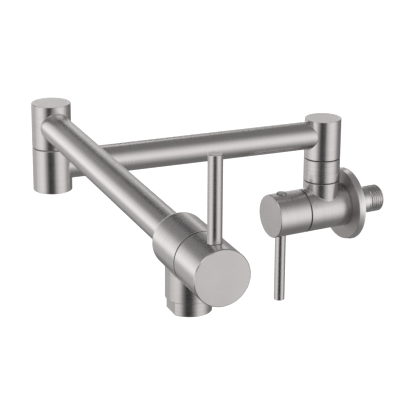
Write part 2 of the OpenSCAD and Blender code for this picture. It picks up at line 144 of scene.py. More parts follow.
def extent(node: str, place: Placement) -> Extent:
    """Measures a CAD solid in a placement.

    Args:
        node: The solid's name.
        place: The axes to measure it along.

    Returns:
        The least and greatest z, and the greatest distance from the z axis.
    """
    mesh = frame["nodes"][node].data
    points = np.empty(len(mesh.vertices) * 3)
    mesh.vertices.foreach_get("co", points)
    local = place.into(points.reshape(-1, 3) / MM)
    return Extent(local[:, 2].min(), local[:, 2].max(), np.hypot(local[:, 0], local[:, 1]).max())


def box_mm(node: str) -> tuple[Array, Array]:
    """Gives the least and the greatest corner of a node's box, in millimetres."""
    low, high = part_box(node)
    return np.array(low) / MM, np.array(high) / MM


def joint_line(name: str) -> tuple[Array, Array]:
    """Gives a packed joint's point, in millimetres, and its axis."""
    joint = next(item for item in frame["joints"] if item["name"] == name)
    return np.asarray(joint["pos_m"], float) / MM, np.asarray(joint["axis"], float)


# Outlines and surfaces

def unit(vector: Array) -> Array:
    """Gives a vector's direction: the vector over its length."""
    return vector / np.linalg.norm(vector)


def even_angles(count: int = SEGMENTS) -> Array:
    """Gives evenly spaced angles around a full turn, without the last one."""
    return np.arange(count) * (TAU / count)


def column(values: Sequence[float]) -> Array:
    """Makes a column of numbers, to be spread over the points of a ring."""
    return np.array(values)[:, None]


def points_of(x: Array, y: Array, z: Array) -> Array:
    """Joins three coordinates, spread to one shape, into points."""
    return np.stack(np.broadcast_arrays(x, y, z), -1)


def polar(radius: Array, angles: Array, height: Array) -> Array:
    """Gives points about the z axis: x = r cos a, y = r sin a, z = h."""
    return points_of(radius * np.cos(angles), radius * np.sin(angles), height)


def turned(outline: Array, angles: Array) -> Array:
    """Turns an outline of (radius, height) rows about the z axis, one row of points for each."""
    return polar(outline[:, :1], angles, outline[:, 1:])


def slerp(start: Array, end: Array, steps: int) -> Array:
    """Turns unit vectors from start to end in equal angles.

    Formula: sin((1 - s) w) / sin w times start plus sin(s w) / sin w times end, where w is the
    angle between them.

    Args:
        start: Unit vectors, one row each.
        end: Unit vectors, one row each.
        steps: Number of steps.

    Returns:
        An array of steps + 1 layers of such rows.
    """
    angle = np.arccos(np.clip((start * end).sum(-1), -1, 1))[None, :, None]
    share = np.linspace(0, 1, steps + 1)[:, None, None]
    return (np.sin((1 - share) * angle) * start + np.sin(share * angle) * end) / np.sin(angle)


def stepped(radius: float, height: float, *moves: Union[float, tuple[float, float]],
            upright: bool = False) -> list[Corner]:
    """Gives the corners of an outline whose radius and height change in turn.

    Args:
        radius: The first corner's radius.
        height: The first corner's height.
        moves: The new radius or height at each next corner, with its rounding if it has one.
        upright: Whether the height changes first.

    Returns:
        Radius, height and rounding of each corner.
    """
    corners = [(radius, height, 0.0)]
    for index, move in enumerate(moves):
        value, rounding = move if isinstance(move, tuple) else (move, 0.0)
        radius, height = (value, height) if index % 2 == upright else (radius, value)
        corners.append((radius, height, rounding))
    return corners


def rounded_outline(corners: Sequence[Corner]) -> Array:
    """Rounds the corners of a turned outline, apart from the first and the last one.

    Formula: at a corner P, with unit directions a and b to its neighbours and half the angle
    between them h, the arc touches both sides at P + a t and P + b t, where t is the radius over
    tan h, and its centre is P plus the bisector times the radius over sin h. One support point
    lies just outside each end of the arc, so that smooth shading keeps flat faces flat.

    Args:
        corners: Radius from the axis, height along it and rounding radius of each corner.

    Returns:
        Points as (radius, height) rows.
    """
    points: list[Array] = []
    for index, (radius, height, rounding) in enumerate(corners):
        here = np.array([[radius, height]])
        if rounding <= 0 or index in (0, len(corners) - 1):
            points.append(here)
            continue
        back, ahead = (unit(np.array([corners[index + step][:2]]) - here) for step in (-1, 1))
        half = math.acos(np.clip((back * ahead).sum(), -1, 1)) / 2
        reach = rounding / math.tan(half)
        centre = here + unit(back + ahead) * rounding / math.sin(half)
        start, end = ((here + side * reach - centre) / rounding for side in (back, ahead))
        support = reach + rounding * SUPPORT_SHARE
        points += [here + back * support, centre + slerp(start, end, ARC_STEPS)[:, 0] * rounding,
                   here + ahead * support]
    return np.concatenate(points)


class Shell:
    """Gathers grids of points into one closed mesh, in millimetres."""

    def __init__(self, name: str, place: Placement) -> None:
        """Starts an empty mesh.

        Args:
            name: The object's name.
            place: The axes that its points are given in.
        """
        self.name = name
        self.place = place
        self._points: list[Array] = []
        self._quads: list[Array] = []
        self._count = 0

    def grid(self, points: Array, loop: bool = False, hole: Optional[Array] = None) -> "Shell":
        """Adds a grid that closes around its columns.

        Args:
            points: Rows by columns by three coordinates, in the placement's axes.
            loop: Whether the last row joins the first one too.
            hole: Cells to leave open, as rows less one by columns of true or false.

        Returns:
            The shell itself.
        """
        index = np.arange(points[..., 0].size).reshape(points.shape[:2]) + self._count
        shifts = ((0, 0), (0, -1), (-1, -1), (-1, 0))
        quads = np.stack([np.roll(index, shift, (0, 1)) for shift in shifts], -1)
        if not loop:
            quads = quads[:-1]
        self._quads.append(quads[~hole] if hole is not None else quads.reshape(-1, 4))
        self._points.append(points.reshape(-1, 3))
        self._count += index.size
        return self

    def turn(self, corners: Sequence[Corner], loop: bool = False, segments: int = SEGMENTS) -> "Shell":
        """Adds the surface that a rounded outline sweeps about the z axis.

        Args:
            corners: The outline's corners, as in rounded_outline.
            loop: Whether the outline closes on its first corner.
            segments: Columns around the axis.

        Returns:
            The shell itself.
        """
        outline = rounded_outline([*corners, corners[0]])[:-1] if loop else rounded_outline(corners)
        return self.grid(turned(outline, even_angles(segments)), loop)

    def build(self, sharp_angle: float = SHARP_ANGLE) -> Object:
        """Welds the grids, turns all faces outwards and makes the object.

        Args:
            sharp_angle: Edges that bend more than this, in degrees, stay sharp in shading.

        Returns:
            The new object, at the origin, with its place in its mesh.
        """
        points = self.place.out(np.concatenate(self._points)) * MM
        quads = np.concatenate(self._quads)
        mesh = bpy.data.meshes.new(self.name)
        mesh.vertices.add(len(points))
        mesh.vertices.foreach_set("co", points.ravel())
        mesh.loops.add(quads.size)
        mesh.loops.foreach_set("vertex_index", quads.ravel())
        mesh.polygons.add(len(quads))
        mesh.polygons.foreach_set("loop_start", np.arange(0, quads.size, 4))
        mesh.update(calc_edges=True)
        work = bmesh.new()
        work.from_mesh(mesh)
        bmesh.ops.remove_doubles(work, verts=work.verts, dist=WELD_DISTANCE)
        bmesh.ops.dissolve_degenerate(work, edges=work.edges, dist=WELD_DISTANCE)
        bmesh.ops.recalc_face_normals(work, faces=work.faces)
        work.to_mesh(mesh)
        work.free()
        mesh.polygons.foreach_set("use_smooth", np.ones(len(mesh.polygons), bool))
        mesh.set_sharp_from_angle(angle=math.radians(sharp_angle))
        return linked(self.name, mesh)


def linked(name: str, data: bpy.types.ID) -> Object:
    """Makes an object in the scene.

    Args:
        name: The object's name.
        data: Its mesh or camera.

    Returns:
        The object.
    """
    made = bpy.data.objects.new(name, data)
    bpy.context.scene.collection.objects.link(made)
    return made


# Cylinder sides with openings, and what stands in them

@dataclass(frozen=True)
class Opening:
    """A place in a cylinder's side that something stands in or branches from.

    The opening's own coordinates are `lateral`, around the cylinder, and `along`, up its axis.
    `rim` gives both, unrolled, for each turn about the opening's own axis.
    """

    radius: float
    side: float
    centre: float
    half_columns: int
    half_rows: int
    half_height: float
    rim: Callable[[Array], tuple[Array, Array]]

    def border(self) -> tuple[Array, Array]:
        """Walks around the rectangle of cells that the opening takes from the side.

        Returns:
            The unrolled distance around the cylinder and the height along it of each point.
        """
        across, down = self.half_columns, self.half_rows
        run, rise = np.arange(-across, across), np.arange(-down, down)
        columns = np.concatenate([run, np.full(2 * down, across), -run, np.full(2 * down, -across)])
        rows = np.concatenate([np.full(2 * across, -down), rise, np.full(2 * across, down), -rise])
        return columns * (TAU / SEGMENTS) * self.radius, rows * (self.half_height / down)

    def turns(self) -> Array:
        """Gives the angle about the opening's own axis that each border point lies at."""
        around, along = self.border()
        return np.arctan2(along / self.half_height, around / around.max())

    def frame_at(self, lateral: Array, along: Array, height: Array) -> Array:
        """Carries the opening's coordinates to the cylinder's axes: height runs out along its side."""
        cos, sin = math.cos(self.side), math.sin(self.side)
        return points_of(height * cos - lateral * sin, height * sin + lateral * cos, along + self.centre)


def add_side(shell: Shell, low: float, high: float, openings: Sequence[Opening]) -> None:
    """Adds a cylinder's side with openings that share one height.

    Formula: the side is an even grid. The cells under an opening are left out, and rings blend
    from the opening's rim, at share 0, to the border of those cells, at share 1, in the unrolled
    plane. The angle is the unrolled distance over the radius.

    Args:
        shell: The shell that gets the surface.
        low: Where the side starts along the axis.
        high: Where it ends.
        openings: The openings, all with the same radius, centre, rows and height.
    """
    first = openings[0]
    rows = first.centre + np.linspace(-1, 1, 2 * first.half_rows + 1) * first.half_height
    heights = column([low, *rows, high])
    hole = np.zeros((len(heights) - 1, SEGMENTS), bool)
    for opening in openings:
        middle = round(opening.side / TAU * SEGMENTS)
        taken = np.arange(middle - opening.half_columns, middle + opening.half_columns) % SEGMENTS
        hole[1:-1, taken] = True
    shell.grid(polar(first.radius, even_angles(), heights), hole=hole)
    share = column(OPENING_SHARES)
    for opening in openings:
        around, along = opening.border()
        rim_around, rim_along = opening.rim(opening.turns())
        angle = opening.side + (rim_around + (around - rim_around) * share) / opening.radius
        height = opening.centre + rim_along + (along - rim_along) * share
        shell.grid(polar(opening.radius, angle, height))


def hole_rim(radius: float, hole_radius: float, turns: Array) -> tuple[Array, Array]:
    """Gives the rim of a round hole drilled square into a cylinder, unrolled.

    Formula: the lateral distance is the hole's radius times cos t, unrolled as the cylinder's
    radius times its arcsine, and the distance along is the hole's radius times sin t.
    """
    return radius * np.arcsin(hole_radius * np.cos(turns) / radius), hole_radius * np.sin(turns)


def add_blind_hole(shell: Shell, opening: Opening, hole_radius: float, floor: float) -> None:
    """Adds the wall and the flat floor of a hole drilled into a cylinder's side.

    Args:
        shell: The shell that gets the surface.
        opening: The opening that the hole fills.
        hole_radius: The hole's radius.
        floor: How far its floor lies from the cylinder's axis.
    """
    turns = opening.turns()
    lateral, along = hole_radius * np.cos(turns), hole_radius * np.sin(turns)
    mouth = np.sqrt(opening.radius ** 2 - lateral ** 2)
    wall = opening.frame_at(lateral, along, mouth + (floor - mouth) * column(HOLE_WALL_LEVELS))
    shares = column(HOLE_FLOOR_SHARES)
    shell.grid(np.concatenate([wall, opening.frame_at(lateral * shares, along * shares, floor)]))


@dataclass(frozen=True)
class Fillet:
    """The rolled-ball blend between a cylinder and a branch that stands square on it.

    Formula: a ball of the fillet's radius that touches both surfaces has its centre at the
    branch's radius plus its own from the branch's axis, and at the cylinder's radius plus its own
    from the cylinder's axis. At a turn t about the branch its centre is lateral = B cos t,
    along = B sin t and height = the root of C squared less lateral squared.
    """

    cylinder: float
    branch: float
    radius: float

    def centre(self, turns: Array) -> Array:
        """Gives the ball's centre.

        Args:
            turns: The turns about the branch.

        Returns:
            Lateral, along and height at each turn.
        """
        reach = self.branch + self.radius
        lateral = reach * np.cos(turns)
        height = np.sqrt((self.cylinder + self.radius) ** 2 - lateral ** 2)
        return points_of(lateral, reach * np.sin(turns), height)

    def rim(self, turns: Array) -> tuple[Array, Array]:
        """Gives where the ball touches the cylinder: its radius times the centre's angle.

        Args:
            turns: The turns about the branch.

        Returns:
            The unrolled distance around the cylinder and the height along it.
        """
        centre = self.centre(turns)
        angle = np.arcsin(centre[:, 0] / (self.cylinder + self.radius))
        return self.cylinder * angle, centre[:, 1]

    def rings(self, turns: Array, steps: int = 6) -> Array:
        """Gives the rings of the blend, by a slerp about the ball's centre.

        Args:
            turns: The turns about the branch.
            steps: Number of steps.

        Returns:
            The rings from the cylinder to the branch.
        """
        centre = self.centre(turns)
        to_axis = -centre * (1, 0, 1) / (self.cylinder + self.radius)
        to_branch = -centre * (1, 1, 0) / (self.branch + self.radius)
        return centre + self.radius * slerp(to_axis, to_branch, steps)

    def branch_rows(self, turns: Array, levels: Sequence[float], corners: Sequence[Corner]) -> Array:
        """Gives the rows of a whole branch, as lateral, along and height.

        Args:
            turns: The angle of each column about the branch.
            levels: Where the rings of the plain side lie, from 0 at the blend to 1 at the end.
            corners: The end's outline, from the side inwards.

        Returns:
            The rings of the blend, of the side and of the turned end.
        """
        rings = self.rings(turns)
        start = rings[-1][:, 2]
        side = polar(self.branch, turns, start + (corners[0][1] - start) * column(levels))
        return np.concatenate([rings, side, turned(rounded_outline(corners), turns)])


# Shader graphs

def _operator(operation: str, reflected: bool = False) -> Callable[["Value", Number], "Value"]:
    """Makes an operator that joins a value and another one, or a number, by a Math node.

    Args:
        operation: The Math node's operation.
        reflected: Whether the other value comes first.

    Returns:
        The operator.
    """
    def method(self: "Value", other: Number) -> "Value":
        """Adds the node and gives its result."""
        return self.graph.math(operation, *((other, self) if reflected else (self, other)))
    return method


class Value:
    """A shader socket that Python sums can use: each operator adds its Math node."""

    def __init__(self, graph: "Graph", socket: Socket) -> None:
        """Wraps one output socket of a graph."""
        self.graph = graph
        self.socket = socket

    __add__ = __radd__ = _operator("ADD")
    __mul__ = __rmul__ = _operator("MULTIPLY")
    __sub__ = _operator("SUBTRACT")
    __rsub__ = _operator("SUBTRACT", reflected=True)

    def __abs__(self) -> "Value":
        """Gives the value without its sign."""
        return self.graph.math("ABSOLUTE", self)

    def ease(self, low: float, high: float) -> "Value":
        """Rises smoothly from 0 to 1, by a Map Range node.

        Args:
            low: Where it is 0.
            high: Where it is 1, which may lie below low.

        Returns:
            The eased value.
        """
        inputs = {"Value": self, "From Min": min(low, high), "From Max": max(low, high),
                  "To Min": float(low > high), "To Max": float(low <= high)}
        made = self.graph.node("MapRange", inputs, interpolation_type="SMOOTHSTEP")
        return Value(self.graph, made.outputs["Result"])


class Graph:
    """The nodes of one material or world."""

    def __init__(self, tree: bpy.types.NodeTree) -> None:
        """Empties the tree and keeps it."""
        tree.nodes.clear()
        self.tree = tree

    def node(self, kind: str, inputs: Optional[dict] = None, **settings: str) -> bpy.types.Node:
        """Adds one node.

        Args:
            kind: The node's type, without the leading ShaderNode.
            inputs: The value or link of each socket, by name or number.
            settings: Its properties, set first.

        Returns:
            The node.
        """
        made = self.tree.nodes.new(f"ShaderNode{kind}")
        for key, setting in settings.items():
            setattr(made, key, setting)
        for key, value in (inputs or {}).items():
            source = value.socket if isinstance(value, Value) else value
            if isinstance(source, Socket):
                self.tree.links.new(source, made.inputs[key])
            else:
                made.inputs[key].default_value = source
        return made

    def math(self, operation: str, *values: Number) -> Value:
        """Adds a Math node and gives its result."""
        return Value(self, self.node("Math", dict(enumerate(values)), operation=operation).outputs[0])

    def noise(self, vector: Socket, cells: Sequence[float], detail: float) -> Value:
        """Adds a Noise Texture.

        Args:
            vector: The coordinates, in metres.
            cells: Cells per metre along each axis.
            detail: How much finer noise is laid over it.

        Returns:
            The noise less the middle of its range, so about -0.5 to 0.5.
        """
        scaled = self.node("VectorMath", {0: vector, 1: cells}, operation="MULTIPLY").outputs[0]
        made = self.node("TexNoise", {"Vector": scaled, "Scale": 1.0, "Detail": detail})
        return Value(self, made.outputs["Fac"]) - NOISE_MIDDLE

    def mix(self, share: Value, low: Colour, high: Colour) -> Socket:
        """Mixes two colours by a share."""
        return self.node("Mix", {0: share, 6: (*low, 1.0), 7: (*high, 1.0)}, data_type="RGBA").outputs[2]

    def split(self, vector: Socket) -> list[Value]:
        """Gives a vector's three parts."""
        return [Value(self, part) for part in self.node("SeparateXYZ", {0: vector}).outputs]

    def bump(self, height: Value, depth: float) -> Socket:
        """Gives the normal of a bump whose height of 1 is so many metres deep."""
        return self.node("Bump", {"Height": height, "Distance": depth, "Strength": 1.0}).outputs[0]

    def surface(self, **sockets: object) -> None:
        """Ends the graph in one principled surface, with _ for each blank in a socket's name."""
        inputs = {key.replace("_", " "): value for key, value in sockets.items()}
        self.node("OutputMaterial", {"Surface": self.node("BsdfPrincipled", inputs).outputs[0]})


# Finishes

def new_material(name: str) -> tuple[bpy.types.Material, Graph]:
    """Makes an empty node material.

    Args:
        name: The material's name.

    Returns:
        The material and its graph.
    """
    material = bpy.data.materials.new(name)
    material.use_nodes = True
    return material, Graph(material.node_tree)


def object_vector(graph: Graph, place: Optional[Placement] = None) -> Socket:
    """Gives Object coordinates, turned and centred to a placement's axes where one is given.

    Formula: the local point is the matrix of the placement's axes times the point, less that
    matrix times the origin.

    Args:
        graph: The graph that gets the nodes.
        place: The placement.

    Returns:
        The coordinates, in metres.
    """
    vector = graph.node("TexCoord").outputs["Object"]
    if place is None:
        return vector
    turn = Matrix(place.axes.tolist()).to_euler("XYZ")
    shift = -(place.axes @ place.origin) * MM
    inputs = {"Vector": vector, "Location": shift.tolist(), "Rotation": turn}
    return graph.node("Mapping", inputs, vector_type="POINT").outputs[0]


@dataclass(frozen=True)
class NoisyFinish:
    """A finish whose tone, roughness and bump follow noise.

    It covers moulded plastic, rubber, ceramic, machined metal and brushed steel, which differ in
    their values. Noise is counted in cells per metre: `fine` along the turning axis and `reach`
    around it, or all ways where that is left out. The noise of `coarse` lines takes what the fine
    share leaves. Clouds are so many cells, or some grains wide where they are left out. Where a
    face height is given, painted light is laid on: a painted highlight on the rim and painted shade
    on the face below it. The bump's depth, the face's height and the width of the band where the
    face's painted shade changes to the rim's painted highlight are in metres.
    """

    dark: Colour
    light: Colour
    roughness: float
    spread: float
    fine: float
    depth: float
    metallic: float = 0.0
    contrast: float = 1.4
    reach: Optional[float] = None
    coarse: float = 0.0
    fine_share: float = 1.0
    clouds: Optional[float] = None
    cloud_contrast: float = 1.2
    cloud_spread: float = 0.0
    face_height: Optional[float] = None
    face_band: float = 0.0003
    face_tone: float = 0.12
    rim_tone: float = 0.87
    face_dullness: float = 0.22

    def dress(self, name: str, place: Optional[Placement] = None) -> bpy.types.Material:
        """Makes the material, in a placement's axes where one is given.

        Formula: even noise gives grain, and noise whose cells are long around the axis and short
        along it gives brush lines. They shift the tone and the roughness, and their bump spreads
        highlights. Wider noise adds clouds. Where a face height is given, the tone is painted light:
        it falls below that height from the rim's painted highlight to the face's painted shade, and
        the face is duller by so much roughness.

        Args:
            name: The material's name.
            place: The axes that the lines follow.

        Returns:
            The material.
        """
        material, graph = new_material(name)
        vector = object_vector(graph, place)
        reach = self.reach or self.fine
        lines = graph.noise(vector, (reach, reach, self.fine), FINE_DETAIL)
        if self.coarse:
            coarse = graph.noise(vector, (reach / 2, reach / 2, self.coarse), COARSE_DETAIL)
            lines = lines * self.fine_share + coarse * (1 - self.fine_share)
        cloud = graph.noise(vector, (self.clouds or self.fine / CLOUD_GRAINS,) * 3, CLOUD_DETAIL)
        middle: Number = NOISE_MIDDLE
        roughness: Number = self.roughness
        if self.face_height is not None:
            # Painted light: the rim keeps a lighter painted highlight tone, and the face below the face height
            # gets a darker painted shade tone.
            rim = graph.split(vector)[2].ease(self.face_height, self.face_height + self.face_band)
            middle = rim * (self.rim_tone - self.face_tone) + self.face_tone
            roughness = (1 - rim) * self.face_dullness + self.roughness
        share = lines * self.contrast + cloud * self.cloud_contrast + middle
        graph.surface(Base_Color=graph.mix(share, self.dark, self.light), Metallic=self.metallic,
                      Roughness=lines * self.spread + cloud * self.cloud_spread + roughness,
                      Normal=graph.bump(lines, self.depth))
        return material


STEEL = NoisyFinish((0.665, 0.630, 0.622), (0.745, 0.715, 0.717), 0.27, 0.08, 2600, 2e-7, 1.0, 2.6,
                    reach=55, coarse=950, fine_share=0.6, clouds=70, cloud_contrast=0.4, cloud_spread=0.06)


class Finish(Enum):
    """The finishes: first the ways that the steel was brushed, then the record's other slots.

    Turned pieces show their lines, drawn ones hardly do, and satin ones lie between and are a
    little smoother. A streaked piece has coarse, strong lines. A bright one is lighter and
    smoother, and a tinted one is darker. A plate carries painted light: a painted highlight on
    its rim and painted shade on its face, which is also duller than the rim. The elbow's washer
    shows as a pale line, so it has a paler plastic than the other seams.
    """

    TURNED = STEEL
    DRAWN = replace(STEEL, contrast=0.9, spread=0.03, depth=1.2e-7)
    SATIN = replace(STEEL, contrast=2.2, spread=0.05, roughness=0.25)
    STREAKED = replace(STEEL, dark=(0.63, 0.597, 0.59), light=(0.775, 0.744, 0.746), contrast=3.4,
                       depth=4e-7, coarse=700)
    BRIGHT = replace(STEEL, dark=(0.72, 0.69, 0.68), light=(0.82, 0.79, 0.79), roughness=0.2)
    TINTED = replace(STEEL, dark=(0.36, 0.345, 0.34), light=(0.44, 0.425, 0.42))
    # The plate's lighter rim is a painted highlight, and its darker face below face_height is painted shade.
    PLATE = replace(STEEL, dark=(0.53, 0.503, 0.496), light=(0.92, 0.89, 0.89), contrast=1.6,
                    roughness=0.33, face_height=-0.0051)
    VALVE_BRASS = NoisyFinish((0.50, 0.38, 0.17), (0.66, 0.52, 0.27), 0.32, 0.16, 900, 4e-6, 1.0)
    SEAL_RUBBER = NoisyFinish((0.012, 0.012, 0.012), (0.03, 0.03, 0.03), 0.72, 0.2, 1400, 1e-5)
    SEAM_PLASTIC = NoisyFinish((0.012, 0.011, 0.011), (0.028, 0.026, 0.025), 0.55, 0.2, 1600, 6e-6)
    CERAMIC = NoisyFinish((0.74, 0.71, 0.65), (0.84, 0.82, 0.77), 0.22, 0.1, 700, 2e-6)
    AERATOR_PLASTIC = NoisyFinish((0.10, 0.10, 0.105), (0.17, 0.17, 0.175), 0.45, 0.2, 1500, 8e-6)
    PALE_PLASTIC = NoisyFinish((0.32, 0.31, 0.305), (0.42, 0.41, 0.40), 0.5, 0.2, 1600, 6e-6)
    SCREW_STEEL = NoisyFinish((0.16, 0.155, 0.15), (0.27, 0.26, 0.255), 0.34, 0.18, 1800, 4e-6, 1.0)


class Workshop:
    """Makes each finish once, dresses pieces in it and ties them to the frame."""

    def __init__(self) -> None:
        """Starts with no material made."""
        self._made: dict[str, bpy.types.Material] = {}

    def material(self, name: str, finish: Finish, place: Optional[Placement] = None) -> bpy.types.Material:
        """Gives a material, made on first use.

        Args:
            name: The material's name.
            finish: Its finish.
            place: The axes that its lines follow.

        Returns:
            The material.
        """
        if name not in self._made:
            self._made[name] = finish.value.dress(name, place)
        return self._made[name]

    def hand_over(self, piece: Object, node: str, body: str, place: Placement,
                  finish: Finish = Finish.TURNED, part: str = "") -> None:
        """Dresses a steel piece, ties it to its body and hides the CAD node that it stands for.

        Args:
            piece: The built piece.
            node: The CAD node that it stands for.
            body: The body that it moves with.
            place: The axes that its brush lines follow.
            finish: How it was brushed.
            part: The name of its steel, where that isn't the node's.
        """
        piece.data.materials.append(self.material(f"brushed_steel_{part or node}", finish, place))
        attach(piece, body)
        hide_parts(node)
        log.info("made %s with %d faces", piece.name, len(piece.data.polygons))


# Sub-assemblies, with their sizes in millimetres

@dataclass
class Valve:
    """What both valve bodies share: the cavity for the cartridge and the edge at a seam."""

    cavity_radius: float = 12.5
    cavity_depth: float = 25.0
    port_radius: float = 4.5
    seam_edge: float = 0.3

    def front_corners(self, radius: float, front: float) -> list[Corner]:
        """Gives the outline from the cavity's floor out to the body's side at the seam."""
        return stepped(self.port_radius, -self.cavity_depth, self.cavity_radius, (front, FINE_EDGE),
                       radius - REBATE_DEPTH, front - REBATE, (radius, SOFT_EDGE))

    def back_corners(self, radius: float, back: float, edge: float, socket: Corner) -> list[Corner]:
        """Gives the outline from the cavity's floor through the socket to the body's side.

        Args:
            radius: The body's radius.
            back: The height of its back.
            edge: The rounding of its back edge.
            socket: The socket's radius, the height of its floor and the rounding of its mouth.

        Returns:
            The corners.
        """
        hole, floor, mouth = socket
        return stepped(self.port_radius, -self.cavity_depth, floor, hole, (back, mouth), (radius, edge),
                       upright=True)


@dataclass
class Handle:
    """A valve's handle: its hub, the round lever that stands in it and the plug opposite.

    The z axis runs out from the seam and y towards the lever.
    """

    prefix: str
    place: Placement
    lever_radius: float = 4.2
    lever_edge: float = 0.35
    seat_margin: float = 0.5
    seat_drop: float = 1.0
    plug_margin: float = 0.05
    plug_drop: float = 0.8
    plug_edge: float = 0.6
    foot_radius: float = 2.5
    foot_edge: float = 0.2
    skirt_radius: float = 12.8
    skirt_depth: float = 9.0
    bore_radius: float = 4.05
    bore_depth: float = 22.3
    stud_radius: float = 2.8
    stud_grip: float = 8.3
    bevel: float = 0.5
    half_cells: int = 8

    def hub(self) -> Object:
        """Builds the hub: a turned cap with a seat for the lever and one for the plug.

        Returns:
            The hub.
        """
        size = self._size("hub", self.place)
        plug = self._size("plug", self._across(-1))
        radius, cells = size.radius, self.half_cells
        seats = ((TAU / 4, self.lever_radius + self.seat_margin, radius - self.seat_drop),
                 (3 * TAU / 4, plug.radius + self.plug_margin, radius - self.plug_drop))
        openings = [Opening(radius, side, self._lever_height(), cells, cells, radius * cells * TAU / SEGMENTS,
                            partial(hole_rim, radius, hole)) for side, hole, _ in seats]
        seam = size.low + REBATE
        low, high = seam + 2 * SOFT_EDGE, size.high - 2 * self.bevel
        shell = Shell(f"{self.prefix}_hub_shell", self.place)
        add_side(shell, low, high, openings)
        for opening, (_, hole, floor) in zip(openings, seats):
            add_blind_hole(shell, opening, hole, floor)
        shell.turn([(radius, high, 0), (radius, size.high - self.bevel, FINE_EDGE),
                    (radius - self.bevel, size.high, FINE_EDGE), (0, size.high, 0)])
        shell.turn(stepped(0, self.bore_depth, self.bore_radius, (self.skirt_depth, FINE_EDGE),
                           self.skirt_radius, (size.low, FINE_EDGE), radius - REBATE_DEPTH, seam,
                           (radius, SOFT_EDGE), low))
        return shell.build()

    def lever(self) -> Object:
        """Builds the lever: a rod with softened ends and a blind hole for its stud.

        Returns:
            The lever.
        """
        place, edge = self._across(1), self.lever_edge
        size = self._size("lever", place)
        corners = stepped(0, size.low + self.stud_grip, self.stud_radius, (size.low, FINE_EDGE),
                          (size.radius, edge), (size.high, edge), 0)
        return Shell(f"{self.prefix}_lever_rod", place).turn(corners, segments=ROD_SEGMENTS).build()

    def plug(self) -> Object:
        """Builds the plug: a button with a rounded rim on a narrower foot.

        Returns:
            The plug.
        """
        place = self._across(-1)
        size = self._size("plug", place)
        seat = self._size("hub", self.place).radius - self.plug_drop
        corners = stepped(0, size.low, (self.foot_radius, self.foot_edge), seat, size.radius,
                          (size.high, self.plug_edge), 0)
        return Shell(f"{self.prefix}_plug_button", place).turn(corners, segments=ROD_SEGMENTS).build()

    def build(self, shop: Workshop) -> None:
        """Builds and dresses the handle's pieces.

        Args:
            shop: The workshop that dresses them.
        """
        handle = f"{self.prefix}_handle"
        shop.hand_over(self.hub(), f"{handle}_hub", handle, self.place)
        shop.hand_over(self.lever(), f"{handle}_lever", handle, self._across(1), Finish.DRAWN)
        shop.hand_over(self.plug(), f"{handle}_plug", handle, self._across(-1), Finish.TINTED)

    def _size(self, name: str, place: Placement) -> Extent:
        """Measures one of the handle's solids."""
        return extent(f"{self.prefix}_handle_{name}", place)

    def _lever_height(self) -> float:
        """Gives how far the lever's axis lies from the seam, from its solid."""
        return self._size("lever", self.place).middle

    def _across(self, sign: int) -> Placement:
        """Gives the axes whose z runs square out of the hub: 1 for the lever, -1 for the plug."""
        origin = self.place.origin + self.place.z * self._lever_height()
        return Placement.along(origin, self.place.y * sign, self.place.z)


